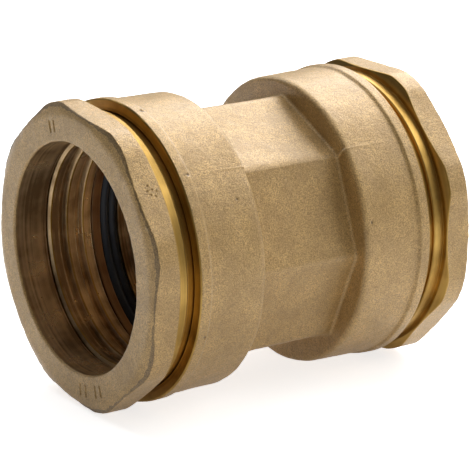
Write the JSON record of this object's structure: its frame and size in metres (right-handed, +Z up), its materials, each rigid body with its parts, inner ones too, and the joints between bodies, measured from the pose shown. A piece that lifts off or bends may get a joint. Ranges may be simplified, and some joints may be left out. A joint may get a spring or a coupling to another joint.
{
  "type": "push-fit pipe coupling",
  "caption": "Straight brass push-fit coupling that joins two plastic pipes, with an octagonal screwed nut, split grip ring, washer and lip seal at each end.",
  "frame": {"origin": "on the pipe axis, in the middle of the body; the far nut is turned out 0.9 mm, so the overall length is centred within 0.5 mm", "axes": "+X along the pipe axis towards the far nut, +Z up through a corner of the octagonal middle"},
  "size_m": [0.1043, 0.0838, 0.0838],
  "materials": {
    "cast_brass": "sand-cast and blasted, rough matte, with turned bands",
    "turned_brass": "turned, bright",
    "red_brass": "turned, reddish",
    "black_rubber": "moulded, satin"
  },
  "bodies": {
    "body": {"body": "cast_brass", "near_washer": "red_brass", "near_seal": "black_rubber", "far_washer": "red_brass", "far_seal": "black_rubber"},
    "near_ring": {"near_grip_ring": "turned_brass"},
    "near_nut": {"near_nut": "cast_brass"},
    "far_ring": {"far_grip_ring": "turned_brass"},
    "far_nut": {"far_nut": "cast_brass"}
  },
  "joints": [
    {"name": "near_nut_travel", "type": "slide", "parent": "body", "child": "near_ring", "axis": [-1, 0, 0], "range_m": [-0.00025, 0.0102]},
    {"name": "near_nut_turn", "type": "hinge", "parent": "near_ring", "child": "near_nut", "pos_m": [-0.048, 0, 0], "axis": [-1, 0, 0], "range_deg": [-30, 1224]},
    {"name": "far_nut_travel", "type": "slide", "parent": "body", "child": "far_ring", "axis": [1, 0, 0], "range_m": [-0.00115, 0.0093]},
    {"name": "far_nut_turn", "type": "hinge", "parent": "far_ring", "child": "far_nut", "pos_m": [0.048, 0, 0], "axis": [1, 0, 0], "range_deg": [-138, 1116]}
  ],
  "couplings": [
    {"joint": "near_nut_travel", "follows": "near_nut_turn", "m_per_rad": 0.00047746},
    {"joint": "far_nut_travel", "follows": "far_nut_turn", "m_per_rad": 0.00047746}
  ]
}
